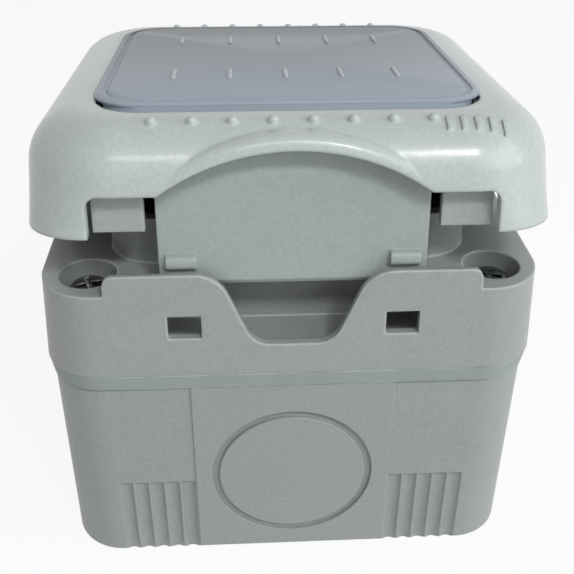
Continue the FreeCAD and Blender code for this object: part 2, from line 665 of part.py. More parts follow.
def make_hinge_pins():
    pins = []
    length = "hinge_lug_length + 2 * hinge_side_gap + 2 * hinge_ear_length"
    for sign in SIDES:
        inner = "hinge_lug_start - hinge_side_gap - hinge_ear_length"
        start = span(sign, inner, inner + " + " + length)[0]
        pins.append(cylinder("hinge_pin", "hinge_pin_radius", length, start, "hinge_y", "hinge_z", "x"))
    finished(group("pins", pins), "hinge_pins")


def lid_blank(name, inset, drop, edge_radius):
    """The lid's outline, set in at the sides and down at the top. Its corners are tight at the rim
    and wider above, and its top slopes down to the front."""
    body = new_body(name)
    half_x, half_y = "lid_width / 2 - ( %s )" % inset, "lid_depth / 2 - ( %s )" % inset
    plans = []
    for level, corner in (
        (LID_RIM, "lid_corner"), ("lid_top_level - lid_edge_radius", "lid_shoulder_corner"),
        ("lid_top_level + lid_edge_radius / 2", "lid_crown_corner"),
    ):
        plans.append(new_sketch(body, "XY_Plane", level))
        rounded_rectangle(plans[-1], half_x, half_y, "%s - ( %s )" % (corner, inset))
    walls = body.newObject("PartDesign::AdditiveLoft", "walls")
    walls.Profile = plans[0]
    walls.Sections = plans[1:]
    above = new_sketch(body, "YZ_Plane")
    rise = "lid_depth * tan( lid_top_slope * 1deg )"
    polygon(above, [
        ("-1 * lid_depth", "lid_top_level - ( %s ) - %s" % (drop, rise)),
        ("lid_depth", "lid_top_level - ( %s ) + %s" % (drop, rise)),
        ("lid_depth", "lid_top_level + lid_depth"),
        ("-1 * lid_depth", "lid_top_level + lid_depth"),
    ])
    feature(body, "Pocket", above, "lid_width + 2 * overcut", both=True)
    low = value("lid_top_level - ( %s ) - lid_depth / 2 * tan( lid_top_slope * 1deg )" % drop) - 0.5
    round_edges(body, edge_radius, lambda edge: edge.ZMin > low)
    return body


def top_at(y):
    """Height of the closed lid's sloping top at a distance y from the middle."""
    return "lid_top_level + ( %s ) * tan( lid_top_slope * 1deg )" % y


def top_placement():
    """The pane's own frame, in the middle of the window on the closed lid's top."""
    turn = FreeCAD.Rotation(FreeCAD.Vector(1, 0, 0), value("lid_top_slope"))
    middle = FreeCAD.Vector(0, value("pane_centre_y"), value(top_at("pane_centre_y")))
    return FreeCAD.Placement(middle, turn)


def pane_prism(name, growth, low, high):
    """A round-cornered block in the pane's own frame, larger than the pane by growth all round."""
    body = new_body(name)
    plan = new_sketch(body, "XY_Plane", low)
    half_x, half_y = "pane_width / 2 + %s" % growth, "pane_depth / 2 + %s" % growth
    rounded_rectangle(plan, half_x, half_y, "pane_corner + %s" % growth)
    feature(body, "Pad", plan, "( %s ) - ( %s )" % (high, low))
    return body


ARCH_RADIUS = "( arch_half_chord * arch_half_chord + arch_rise * arch_rise ) / ( 2 * arch_rise )"
ARCH_CENTRE = LID_RIM + " + arch_spring + arch_rise - " + ARCH_RADIUS
NOTCH_TOP = LID_RIM + " + notch_height"
LID_FRONT = "-1 * lid_depth / 2"


def arch_block(name, radius, front, length, foot):
    """The part above foot of a cylinder that runs back from the front, about the arch's centre."""
    whole = cylinder(name + "_round", radius, length, "0", front, ARCH_CENTRE, "y")
    reach = ("-1 * lid_width / 3", "lid_width / 3", front, front + " + " + length)
    zone = box(name + "_zone", *reach, foot, ARCH_CENTRE + " + %s + overcut" % radius)
    block = doc.addObject("Part::MultiCommon", name)
    block.Shapes = [whole, zone]
    return block


def grip_dots():
    """Two rows of eight low round dots, along the front and the back of the lid's top."""
    dots = []
    for y in ("dot_front_y", "dot_back_y"):
        for number in range(8):
            dot = doc.addObject("Part::Sphere", "grip_dot")
            bind(dot, "Radius", "dot_radius")
            bind(dot, "Placement.Base.x", "dot_pitch * %.1f" % (number - 3.5))
            bind(dot, "Placement.Base.y", y)
            bind(dot, "Placement.Base.z", top_at(y) + " + dot_rise - dot_radius")
            dots.append(dot)
    return dots


def hinge_ears():
    """The lid's ears on both sides of each frame lug, and what is cut away for the lugs and pins."""
    ears, gaps = [], []
    ear_foot, ear_top = LID_RIM + " + 0.2", "hinge_z + hinge_barrel_radius"
    lug_end = "hinge_lug_start + hinge_lug_length"
    inside = "lid_depth / 2 - lid_wall"
    for sign in SIDES:
        for near, far in (
            ("hinge_lug_start - hinge_side_gap - hinge_ear_length", "hinge_lug_start - hinge_side_gap"),
            (lug_end + " + hinge_side_gap", lug_end + " + hinge_side_gap + hinge_ear_length"),
        ):
            x0, x1 = span(sign, near, far)
            size = ("hinge_barrel_radius", "hinge_ear_length")
            ears.append(cylinder("ear", *size, x0, "hinge_y", "hinge_z", "x"))
            ears.append(box("ear_web", x0, x1, inside, "hinge_y", ear_foot, ear_top))
        x0, x1 = span(sign, "hinge_lug_start - hinge_side_gap", lug_end + " + hinge_side_gap")
        depth = (inside + " - overcut", "lid_depth / 2 + 5")
        height = (LID_RIM + " - overcut", ear_top + " + hinge_side_gap")
        gaps.append(box("lug_gap", x0, x1, *depth, *height))
        reach = "hinge_ear_length + 2 * overcut"
        x0 = span(sign, "hinge_lug_start - ( %s )" % reach, lug_end + " + " + reach)[0]
        length = "hinge_lug_length + 2 * ( %s )" % reach
        bore = "hinge_pin_radius + fit_clearance"
        gaps.append(cylinder("ear_bore", bore, length, x0, "hinge_y", "hinge_z", "x"))
    return ears, gaps


def rounded_brow():
    """The brow's block over the arch, its front edge rolled over."""
    block = arch_block("brow_block", ARCH_RADIUS + " + brow_thickness", LID_FRONT, "brow_depth", NOTCH_TOP)
    doc.recompute()
    front = value(LID_FRONT) + TOUCH
    arcs = [
        number for number, edge in enumerate(block.Shape.Edges, start=1)
        if edge.BoundBox.YMax < front and edge.Curve.TypeId == "Part::GeomCircle"
    ]
    brow = doc.addObject("Part::Fillet", "brow")
    brow.Base = block
    radius = value("brow_round")
    brow.Edges = [(number, radius, radius) for number in arcs]
    return brow


def raised_ticks():
    """Five plain raised ticks on the right of the lid's front slope, which follow its curve."""
    skin = lid_blank("lid_skin", "-1 * tick_rise", "-1 * tick_rise", "lid_edge_radius")
    bars = []
    for number in range(5):
        middle = "tick_start + tick_pitch * %d" % number
        sides = (middle + " - tick_width / 2", middle + " + tick_width / 2")
        ends = (LID_FRONT + " + tick_front", LID_FRONT + " + tick_back")
        bars.append(box("tick_bar", *sides, *ends, "lid_top_level - lid_edge_radius", "lid_top_level"))
    return common("ticks", [skin, fuse("tick_bars", bars)])


def front_notch():
    """The gap in the lid's front skirt that clears the frame's raised latch wall."""
    notch = new_body("front_notch")
    outline = new_sketch(notch, "XZ_Plane", "lid_depth / 2 + overcut")
    polygon(outline, rectangle("notch_width / 2", LID_RIM + " - overcut", NOTCH_TOP))
    feature(notch, "Pad", outline, "lid_wall + 4", against=True)
    level = value(NOTCH_TOP) - TOUCH
    round_edges(notch, "notch_corner", lambda edge: edge.XLength < TOUCH and edge.ZMin > level)
    return notch


def liner_posts():
    """Posts under the lid's ceiling for the liner screws, kept within its skin, and their bores."""
    posts, bores = [], []
    foot = "liner_level + liner_thickness"
    depth = "liner_screw_length - liner_thickness + 1.2"
    for x, y in corners("liner_screw_across", "liner_screw_along"):
        length = top_at(y) + " - lid_ceiling / 2 - ( %s )" % foot
        posts.append(cylinder("liner_post", "liner_post_radius", length, x, y, foot))
        bores.append(cylinder("post_bore", LINER_BORE, depth, x, y, foot + " - overcut"))
    limit = lid_blank("post_limit", "lid_wall / 2", "lid_ceiling / 2", "lid_edge_radius - lid_wall / 2")
    return common("liner_posts", [limit, fuse("liner_post_set", posts)]), bores


LINER_BORE = "liner_screw_radius + fit_clearance"
RECESS_FLOOR = "pane_proud - pane_thickness - pane_seal"


def pane_band():
    """The shallow sunken band round the pane, widest in front of it."""
    body = new_body("pane_band")
    plan = new_sketch(body, "XY_Plane", "-1 * band_depth")
    half_x, half_y = "pane_width / 2 + band_side", "pane_depth / 2 + ( band_front + band_back ) / 2"
    rounded_rectangle(plan, half_x, half_y, "pane_corner + band_side", "( band_back - band_front ) / 2")
    feature(body, "Pad", plan, "band_depth + pane_thickness * 2")
    return body


def make_lid_shell():
    outer = lid_blank("lid_outside", "0", "0", "lid_edge_radius")
    inner = lid_blank("lid_inside", "lid_wall", "lid_ceiling", "lid_inner_radius")
    brow = rounded_brow()
    reach = (LID_FRONT + " - overcut", "brow_depth + 2 * overcut")
    arch = arch_block("arch", ARCH_RADIUS, *reach, NOTCH_TOP + " - overcut")
    ears, gaps = hinge_ears()
    solid = fuse("lid_solid", [outer, brow, raised_ticks()] + grip_dots() + ears)
    shell = cut("lid_shell_walls", solid, [inner, front_notch(), arch] + gaps)
    ledge = (RECESS_FLOOR + " - lid_wall", RECESS_FLOOR + " + ledge_lap")
    frame = pane_prism("pane_frame", "ledge_lap", *ledge)
    recess = pane_prism("pane_recess", "pane_gap", RECESS_FLOOR, "pane_thickness * 2")
    band = pane_band()
    opening = pane_prism("pane_opening", "-1 * pane_ledge", "-3 * pane_thickness", "pane_thickness * 2")
    posts, bores = liner_posts()
    doc.recompute()
    for tool in (frame, recess, opening, band):
        tool.Placement = top_placement()
    whole = fuse("lid_with_posts", [shell, frame, posts])
    finished(cut("lid_shell", whole, [recess, opening, band] + bores), "lid_shell", lid=True)


def make_pane():
    """The smoked pane with its raised ticks, and the thin seal that it lies on."""
    body = pane_prism("pane", "0", "pane_proud - pane_thickness", "pane_proud")
    high = value("pane_proud") - TOUCH
    round_edges(body, "pane_edge_radius", lambda edge: edge.ZMin > high)
    ticks = []
    for row in ("mark_front", "mark_back"):
        for number in range(5):
            x = "mark_pitch * %d" % (number - 2)
            sides = (x + " - mark_width / 2", x + " + mark_width / 2")
            ends = (row + " - mark_length / 2", row + " + mark_length / 2")
            ticks.append(box("tick", *sides, *ends, "0", "pane_proud + mark_rise"))
    pane = fuse("pane_with_ticks", [body] + ticks)
    pane.Placement = top_placement()
    finished(pane, "window_pane", lid=True)
    outside = pane_prism("seal_outside", "0", RECESS_FLOOR, "pane_proud - pane_thickness")
    hole = pane_prism("seal_hole", "-1 * pane_ledge", "-2 * pane_thickness", "pane_thickness")
    seal = cut("pane_seal_ring", outside, [hole])
    seal.Placement = top_placement()
    finished(seal, "window_seal", lid=True)


def make_liner():
    """The plate inside the lid that carries the lid seal, the two front tabs and the flap's pin."""
    body = new_body("liner_plate")
    inset = " / 2 - lid_wall - liner_inset"
    plan = new_sketch(body, "XY_Plane", "liner_level")
    rounded_rectangle(plan, "lid_width" + inset, "lid_depth" + inset, "liner_corner")
    opening = ("liner_opening_across / 2", "liner_opening_along / 2")
    rounded_rectangle(plan, *opening, "collar_corner - collar_wall")
    feature(body, "Pad", plan, "liner_thickness")
    barrel_back = "flap_pivot_y + flap_barrel_radius + flap_clearance"
    liner_top = "liner_level + liner_thickness"
    across = ("-1 * ear_outer", "ear_outer", LID_FRONT, barrel_back)
    gap = box("flap_gap", *across, "liner_level - overcut", liner_top + " + overcut")
    plate = cut("liner_cut", body, [gap])
    top = liner_top + " - liner_step"
    tab_back = "tab_face_y + tab_thickness"
    tab_top = liner_top + " - tab_head_drop"
    rib_foot = tab_top + " - root_depth"
    root_front = "tab_face_y + root_set_back"
    root_side = "tab_outer - root_side_gap"
    ear_back = "tab_face_y + ear_depth"
    ear_foot = liner_top + " - ear_height"
    root_back = "-1 * collar_depth / 2 - collar_wall"
    added = [plate]
    for sign in SIDES:
        for name, near, far, front, back, foot, head in (
            ("tab", "tab_inner", "tab_outer", "tab_face_y", tab_back, LID_RIM, tab_top),
            ("pin_ear", "ear_inner", "ear_outer + overcut", root_front, ear_back, ear_foot, top),
            ("tab_root", "ear_outer", root_side, root_front, root_back, "liner_level", top),
            ("tab_rib", "ear_outer", root_side, root_front, ear_back, rib_foot, top),
        ):
            added.append(box(name, *span(sign, near, far), front, back, foot, head))
    bore = "flap_pin_radius + fit_clearance"
    pivot = ("-1 * ear_outer - 2 * overcut", "flap_pivot_y", "flap_pivot_z")
    holes = [cylinder("pin_bore", bore, "2 * ear_outer + 4 * overcut", *pivot, "x")]
    through = "liner_thickness + 2 * overcut"
    for x, y in corners("liner_screw_across", "liner_screw_along"):
        holes.append(cylinder("liner_hole", LINER_BORE, through, x, y, "liner_level - overcut"))
    finished(cut("liner", fuse("liner_whole", added), holes), "lid_liner", lid=True)


def make_liner_screws():
    screws = []
    head = ("liner_screw_radius * small_head", "liner_screw_radius")
    for number, (x, y) in enumerate(corners("liner_screw_across", "liner_screw_along")):
        place = at(x, y, "liner_level", turn_about((1, 0, 0), 180))
        name = "liner_screw_%d" % number
        screws.append(pan_screw(name, "liner_screw_radius", "liner_screw_length", *head, place))
    finished(group("liner_screw_set", screws), "liner_screws", lid=True)


def make_lid_seal():
    """The band under the liner that meets the top of the frame's collar."""
    body = new_body("lid_seal")
    foot = DECK + " + collar_rise + seal_gap"
    ring = new_sketch(body, "XY_Plane", foot)
    middle = " / 2 - collar_wall / 2"
    for edge in (" + seal_band / 2", " - seal_band / 2"):
        half_x, half_y = "collar_width" + middle + edge, "collar_depth" + middle + edge
        rounded_rectangle(ring, half_x, half_y, "collar_corner - collar_wall / 2" + edge)
    feature(body, "Pad", ring, "liner_level - ( %s )" % foot)
    finished(body, "lid_seal", lid=True)


def make_flap():
    body = new_body("flap")
    profile = new_sketch(body, "YZ_Plane")
    back = "flap_face_y + flap_thickness"
    polygon(profile, [
        ("flap_face_y", "flap_head"), ("flap_face_y", "flap_foot + flap_lead_in"),
        ("flap_face_y + flap_lead_depth", "flap_foot"), (back, "flap_foot"), (back, "flap_head"),
    ])
    feature(body, "Pad", profile, "flap_width", both=True)
    barrel = new_sketch(body, "YZ_Plane")
    circle(barrel, "flap_pivot_y", "flap_pivot_z", "flap_barrel_radius")
    feature(body, "Pad", barrel, "flap_width", both=True)
    bosses = new_sketch(body, "XZ_Plane", "-1 * flap_face_y + boss_proud")
    foot, top = "boss_foot", "boss_foot + boss_height"
    for sign in SIDES:
        near, far = span(sign, "boss_inner", "boss_outer")
        polygon(bosses, [(near, foot), (far, foot), (far, top), (near, top)])
    feature(body, "Pad", bosses, "boss_proud + flap_thickness / 2", against=True)
    face = value("flap_face_y - boss_proud") + TOUCH
    round_edges(body, "boss_proud * 0.85", lambda edge: edge.YMax < face and edge.ZLength < TOUCH)
    pin_bore = new_sketch(body, "YZ_Plane")
    circle(pin_bore, "flap_pivot_y", "flap_pivot_z", "flap_pin_radius + fit_clearance")
    feature(body, "Pocket", pin_bore, "flap_width + 2 * overcut", both=True)
    finished(body, "latch_flap", lid=True)
    start = ("-1 * ear_outer", "flap_pivot_y", "flap_pivot_z")
    pin = cylinder("flap_rod", "flap_pin_radius", "2 * ear_outer", *start, "x")
    finished(group("flap_rods", [pin]), "flap_pin", lid=True)


def make_mounting_plate():
    body = new_body("mounting_plate")
    plan = new_sketch(body, "XY_Plane", "plate_level")
    rounded_rectangle(plan, "plate_width / 2", "plate_width / 2", "post_radius")
    circle(plan, "0", "0", "plate_hole_radius")
    for middle in corners("post_spacing", "post_spacing"):
        circle(plan, *middle, "plate_screw_radius + fit_clearance")
    feature(body, "Pad", plan, "plate_thickness")
    finished(body, "mounting_plate")
    screws = []
    head = ("plate_screw_radius * small_head", "plate_screw_radius")
    for number, (x, y) in enumerate(corners("post_spacing", "post_spacing")):
        place = at(x, y, "plate_level + plate_thickness", turn_about((0, 0, 1), 35 * number))
        name = "plate_screw_%d" % number
        screws.append(pan_screw(name, "plate_screw_radius", "plate_screw_length", *head, place))
    finished(group("plate_screw_set", screws), "plate_screws")


CONTACTS = [
    ("contact_line", "contact_spacing / 2", "0"),
    ("contact_neutral", "-1 * contact_spacing / 2", "0"),
    ("contact_earth", "0", "earth_offset"),
]


WELL_FLOOR = "plate_level + plate_thickness + socket_flange_height - socket_well_depth"
SLEEVE_LENGTH = WELL_FLOOR + " - contact_roof - socket_foot"


def make_socket():
    """A plain round outlet: flange on the plate, body through it, a well with three pin holes."""
    seat = "plate_level + plate_thickness"
    flange = cylinder("socket_flange", "socket_flange_radius", "socket_flange_height", "0", "0", seat)
    barrel_height = seat + " - socket_foot + overcut"
    barrel = cylinder("socket_barrel", "socket_body_radius", barrel_height, "0", "0", "socket_foot")
    well = ("socket_well_radius", "socket_well_depth + overcut")
    removed = [cylinder("socket_well", *well, "0", "0", WELL_FLOOR)]
    for name, x, y in CONTACTS:
        depth = seat + " - socket_foot"
        removed.append(cylinder(name + "_hole", "contact_bore", depth, x, y, "socket_foot"))
        snug, depth = "contact_radius + fit_clearance", SLEEVE_LENGTH + " + overcut"
        removed.append(cylinder(name + "_seat", snug, depth, x, y, "socket_foot - overcut"))
    solid = fuse("socket_solid", [flange, barrel])
    finished(cut("socket_whole", solid, removed), "socket_insert")


def make_contacts():
    """A brass sleeve for each pin, with a terminal block under it and a screw in its side."""
    half = "terminal_width / 2"
    foot = "socket_foot - terminal_height"
    level = foot + " + terminal_screw_level"
    head = ("terminal_screw_radius * terminal_head", "terminal_screw_radius")
    screws = []
    for name, x, y in CONTACTS:
        size = ("contact_radius", "contact_bore", SLEEVE_LENGTH)
        sleeve = tube(name + "_sleeve", *size, x, y, "socket_foot")
        left, right = "%s - %s" % (x, half), "%s + %s" % (x, half)
        front, back = "%s - %s" % (y, half), "%s + %s" % (y, half)
        block = box(name + "_block", left, right, front, back, foot, "socket_foot")
        forward = y == "0"
        start = front if forward else back + " - terminal_screw_length"
        snug = "terminal_screw_radius + fit_clearance"
        thread = cylinder(name + "_thread", snug, "terminal_screw_length", x, start, level, "y")
        finished(cut(name + "_whole", fuse(name + "_solid", [sleeve, block]), [thread]), name)
        place = at(x, front if forward else back, level, turn_about((1, 0, 0), 90 if forward else -90))
        shank = ("terminal_screw_radius", "terminal_screw_length - terminal_screw_gap")
        screws.append(pan_screw(name + "_screw", *shank, *head, place))
    finished(group("terminal_screw_set", screws), "terminal_screws")



make_base()
make_gasket()
make_front_frame()
make_frame_fasteners()
make_hinge_pins()
make_lid_shell()
make_pane()
make_liner()
make_liner_screws()
make_lid_seal()
make_flap()
make_mounting_plate()
make_socket()
make_contacts()
doc.recompute()
for thing in doc.Objects:
    if "Invalid" in thing.State or "Error" in thing.State:
        raise RuntimeError("%s failed: %s" % (thing.Label, thing.State))
os.makedirs("parts", exist_ok=True)
for thing in nodes:
    shape = thing.Shape
    if shape.isNull() or not shape.isValid():
        raise RuntimeError(thing.Label + " is not a valid shape")
    shape.exportStep("parts/%s.step" % thing.Label)
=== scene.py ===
import json
import math

import bmesh
import bpy
import numpy as np
from mathutils import Matrix, Vector


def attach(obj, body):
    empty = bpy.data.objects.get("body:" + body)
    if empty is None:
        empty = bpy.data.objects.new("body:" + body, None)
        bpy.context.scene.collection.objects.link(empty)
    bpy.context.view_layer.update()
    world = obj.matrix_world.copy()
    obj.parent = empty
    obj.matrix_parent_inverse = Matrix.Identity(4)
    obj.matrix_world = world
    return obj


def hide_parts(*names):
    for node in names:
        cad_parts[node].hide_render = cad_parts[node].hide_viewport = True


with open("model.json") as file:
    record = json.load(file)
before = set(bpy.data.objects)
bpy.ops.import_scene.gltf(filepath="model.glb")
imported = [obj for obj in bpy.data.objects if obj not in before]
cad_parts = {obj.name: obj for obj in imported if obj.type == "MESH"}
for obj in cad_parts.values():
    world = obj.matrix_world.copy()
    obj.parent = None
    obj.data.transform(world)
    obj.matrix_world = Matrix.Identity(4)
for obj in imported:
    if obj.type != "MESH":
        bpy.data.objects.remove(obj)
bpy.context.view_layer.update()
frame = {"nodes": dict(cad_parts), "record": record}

nodes = frame["nodes"]

# ---------------------------------------------------------------------------------------------
# The camera. It stands in front of the enclosure and a little left of its middle, above the lid,
# and looks down at about a third of a right angle.
camera_lens = 54.53
camera_stand = (-0.0080, -0.1577, 0.13184)
camera_swing, camera_look_down, camera_roll = -0.05825, 0.55867, 0.00728
camera_data = bpy.data.cameras.new("camera")
camera_data.lens = camera_lens
camera_data.clip_start = 0.01
camera = bpy.data.objects.new("camera", camera_data)
bpy.context.scene.collection.objects.link(camera)
camera_tilt = Matrix.Rotation(math.pi / 2 - camera_look_down, 4, "X")
camera_heading = Matrix.Rotation(camera_swing, 4, "Z") @ camera_tilt
camera_turn = camera_heading @ Matrix.Rotation(camera_roll, 4, "Z")
camera.matrix_world = Matrix.Translation(camera_stand) @ camera_turn
bpy.context.scene.camera = camera

# ---------------------------------------------------------------------------------------------
# The base box: a deep tray of pale grey ABS, injection moulded, with a raised panel, a round
# knock-out and two runs of finger flutes on each wall. Its surface has a faint spark-eroded grain,
# slow mottling, and edges that handling has made smoother; the edges are also painted lighter,
# partly as wear and partly as a painted highlight.
base_colour = (0.322, 0.352, 0.340)
base_edge_round = 0.00035


class Wire:
    """A socket of one node tree. Sums on wires add Math nodes, and node() adds any other."""

    def __init__(self, tree, socket=None):
        self.tree = tree
        self.socket = socket

    def node(self, kind, settings, inputs, output=0):
        made = self.tree.nodes.new(kind)
        for name, setting in settings.items():
            setattr(made, name, setting)
        for name, entry in inputs.items():
            if isinstance(entry, Wire):
                self.tree.links.new(entry.socket, made.inputs[name])
            else:
                made.inputs[name].default_value = entry
        return Wire(self.tree, made.outputs[output])

    def maths(self, operation, first, second, clamp=False):
        settings = {"operation": operation, "use_clamp": clamp}
        return self.node("ShaderNodeMath", settings, {0: first, 1: second})

    def __add__(self, other):
        return self.maths("ADD", self, other)

    __radd__ = __add__

    def __mul__(self, other):
        return self.maths("MULTIPLY", self, other)

    __rmul__ = __mul__

    def __sub__(self, other):
        return self.maths("SUBTRACT", self, other)

    def __rsub__(self, other):
        return self.maths("SUBTRACT", other, self)

    def clamped(self):
        return self.maths("ADD", self, 0.0, clamp=True)

    def blend(self, factor, low, high):
        """The colour low where factor is 0 and high where it is 1."""
        settings = {"data_type": "RGBA"}
        return self.node("ShaderNodeMix", settings, {0: factor, 6: low, 7: high}, output=2)


def shade(colour, amount):
    """The colour made lighter or darker by a factor, no part above 1, with full opacity."""
    return tuple(min(1.0, part * amount) for part in colour) + (1.0,)


def new_material(name):
    """An empty material and a wire on its tree."""
    material = bpy.data.materials.new(name)
    material.use_nodes = True
    material.node_tree.nodes.clear()
    return material, Wire(material.node_tree)


def close_tree(wire, shader):
    """Send a shader to the material's output."""
    output = wire.tree.nodes.new("ShaderNodeOutputMaterial")
    wire.tree.links.new(shader.socket, output.inputs["Surface"])


def finish_material(wire, inputs):
    """Close a material with one Principled shader that has these sockets."""
    close_tree(wire, wire.node("ShaderNodeBsdfPrincipled", {}, inputs))


def object_place(wire):
    """Where a point lies in its own object's space, in metres."""
    return wire.node("ShaderNodeTexCoord", {}, {}, output="Object")


def noise(wire, place, scale, detail):
    """Cloudy noise about a half, with about this many clouds to the metre."""
    return wire.node("ShaderNodeTexNoise", {}, {"Vector": place, "Scale": scale, "Detail": detail})


def rounded_normal(wire, radius):
    """The surface's normal, turned over smoothly within this radius of an edge."""
    return wire.node("ShaderNodeBevel", {"samples": 6}, {"Radius": radius})


def edge_mask(wire, rounded, gain):
    """Zero on flat skin and up to one near edges: one minus the cosine between the face's normal
    and the same normal rounded over, times a gain."""
    face = wire.node("ShaderNodeNewGeometry", {}, {}, output="Normal")
    turn = {"operation": "DOT_PRODUCT"}
    cosine = wire.node("ShaderNodeVectorMath", turn, {0: rounded, 1: face}, output="Value")
    return ((1 - cosine) * gain).clamped()


def relief(wire, height, rounded, depth, strength):
    """The rounded normal, tilted by the slope of a height."""
    inputs = {"Strength": strength, "Distance": depth, "Height": height, "Normal": rounded}
    return wire.node("ShaderNodeBump", {}, inputs)


def moulded_plastic(name, colour, roughness, edge, grain=1.0, gloss=0.0, wear_and_highlight_tone=1.22):
    """Moulded plastic. Colour and roughness follow slow noise and a fine speckle, height follows
    the speckle and a finer noise, and edges are smoother and painted toward the edge tone, which is
    partly wear and partly a painted highlight. The noises are a half on average, so flat skin keeps
    its colour and roughness."""
    drift, fleck, wear_and_highlight_share = 0.07, 0.30, 0.8
    drift_rough, fleck_rough, wear_smooth = 0.10, 0.06, 0.08
    fine_share, grain_depth, grain_strength = 0.6, 0.00006, 0.55
    material, wire = new_material(name)
    place = object_place(wire)
    slow = noise(wire, place, scale=70.0, detail=3.0)
    speckle = noise(wire, place, scale=1400.0, detail=3.0)
    fine = noise(wire, place, scale=2600.0, detail=2.0)
    rounded = rounded_normal(wire, edge)
    edge_wear_and_highlight = edge_mask(wire, rounded, gain=4.0)
    body = wire.blend(slow, shade(colour, 1 - drift), shade(colour, 1 + drift))
    flecked = wire.blend(speckle, shade(colour, 1 - fleck), shade(colour, 1 + fleck))
    mottled = wire.blend(0.5, body, flecked)
    # Painted highlight: the edge mask lightens edges toward the edge tone, partly standing for wear.
    edged = wire.blend(edge_wear_and_highlight * wear_and_highlight_share, mottled, shade(colour, wear_and_highlight_tone))
    middle = roughness - 0.5 * (drift_rough + fleck_rough)
    rough = slow * drift_rough + speckle * fleck_rough - edge_wear_and_highlight * wear_smooth + middle
    height = fine * fine_share + speckle * (1 - fine_share)
    finish_material(wire, {
        "Base Color": edged,
        "Roughness": rough,
        "Normal": relief(wire, height, rounded, grain_depth, grain_strength * grain),
        "Specular IOR Level": 0.45,
        "Coat Weight": gloss,
        "Coat Roughness": 0.16,
    })
    return material


def dress(node, material):
    """Give a CAD node one material."""
    slots = nodes[node].data.materials
    slots.clear()
    slots.append(material)


base_plastic = moulded_plastic("base_plastic", base_colour, roughness=0.42, edge=base_edge_round)
dress("base_box", base_plastic)

# ---------------------------------------------------------------------------------------------
# The gasket between the base and the front frame: a band of soft blue-grey rubber, cut from sheet
# and squeezed by the corner screws. It is duller than the plastic and a little powdery.
gasket_colour = (0.30, 0.35, 0.345)


def soft_rubber(name, colour, roughness):
    """Rubber. A fine powdery bloom lies over a slow tone, with a dull sheen and shallow pits. Its
    cut edges carry broken pale flash, where the edge mask meets the slow tone."""
    drift, bloom_share, bloom_tone = 0.1, 0.35, 1.25
    flash_from, flash_contrast, flash_tone, cut_edge = 0.42, 6.0, 2.3, 0.0005
    drift_rough, bloom_rough = 0.12, 0.08
    pit_share, pit_depth, pit_strength = 0.4, 0.00008, 0.4
    material, wire = new_material(name)
    place = object_place(wire)
    tone = noise(wire, place, scale=160.0, detail=4.0)
    bloom = noise(wire, place, scale=1500.0, detail=4.0)
    pits = wire.node("ShaderNodeTexVoronoi", {}, {"Vector": place, "Scale": 1800.0})
    body = wire.blend(tone, shade(colour, 1 - drift), shade(colour, 1 + drift))
    dusty = wire.blend(bloom * bloom_share, body, shade(colour, bloom_tone))
    rounded = rounded_normal(wire, cut_edge)
    torn = edge_mask(wire, rounded, gain=8.0) * ((tone - flash_from) * flash_contrast).clamped()
    flashed = wire.blend(torn, dusty, shade(colour, flash_tone))
    height = pits * pit_share + bloom * (1 - pit_share)
    middle = roughness - 0.5 * (drift_rough + bloom_rough)
    finish_material(wire, {
        "Base Color": flashed,
        "Roughness": tone * drift_rough + bloom * bloom_rough + middle,
        "Normal": relief(wire, height, rounded, pit_depth, pit_strength),
        "Specular IOR Level": 0.35,
    })
    return material


gasket_rubber = soft_rubber("gasket_rubber", gasket_colour, roughness=0.55)
dress("frame_gasket", gasket_rubber)

# ---------------------------------------------------------------------------------------------
# The front frame: the same ABS from another tool and batch, a touch warmer. Its raised latch wall
# has a finger scoop and two latch windows, and its corners have the pockets of the screws. Its
# edges are painted the palest of the mouldings', mostly as a painted highlight and a little as wear.
frame_colour = (0.335, 0.358, 0.345)
# The high edge tone paints a strong highlight along the frame's edges.
frame_edge_round, frame_wear_and_highlight_tone = 0.00065, 1.95
frame_plastic = moulded_plastic("frame_plastic", frame_colour, roughness=0.38, edge=frame_edge_round,
                                wear_and_highlight_tone=frame_wear_and_highlight_tone)
dress("front_frame", frame_plastic)

# ---------------------------------------------------------------------------------------------
# The fasteners: pan-head steel screws, zinc plated and passivated dark, over dark rubber washers,
# turned into brass inserts. The contacts are brass and the window's and lid's seals rubber too.
steel_colour = (0.24, 0.25, 0.26)
brass_colour = (0.72, 0.52, 0.24)
washer_colour = (0.05, 0.05, 0.052)


def plated_metal(name, colour, roughness, stain):
    """Plated or plain metal. Dull stains are the peaks of a cloudy noise, and the finest noise
    stands for scratches, in roughness and height alike."""
    stain_from, stain_contrast, stain_tone = 0.45, 4.0, 0.55
    stain_rough, scratch_rough = 0.2, 0.1
    edge, scratch_depth, scratch_strength = 0.00015, 0.00004, 0.3
    material, wire = new_material(name)
    place = object_place(wire)
    cloud = noise(wire, place, scale=420.0, detail=5.0)
    scratch = noise(wire, place, scale=3200.0, detail=2.0)
    patch = ((cloud - stain_from) * stain_contrast).clamped()
    tone = wire.blend(patch * stain, shade(colour, 1.0), shade(colour, stain_tone))
    rounded = rounded_normal(wire, edge)
    clean = roughness - 0.5 * scratch_rough
    finish_material(wire, {
        "Base Color": tone,
        "Roughness": patch * stain_rough + scratch * scratch_rough + clean,
        "Metallic": 1.0,
        "Normal": relief(wire, scratch, rounded, scratch_depth, scratch_strength),
    })
    return material


zinc_steel = plated_metal("zinc_steel", steel_colour, roughness=0.2, stain=0.6)
for node in ("frame_screws", "plate_screws", "liner_screws", "terminal_screws"):
    dress(node, zinc_steel)
brass = plated_metal("brass", brass_colour, roughness=0.25, stain=0.4)
for node in ("threaded_inserts", "contact_line", "contact_neutral", "contact_earth"):
    dress(node, brass)
washer_rubber = soft_rubber("washer_rubber", washer_colour, roughness=0.6)
for node in ("sealing_washers", "window_seal", "lid_seal"):
    dress(node, washer_rubber)

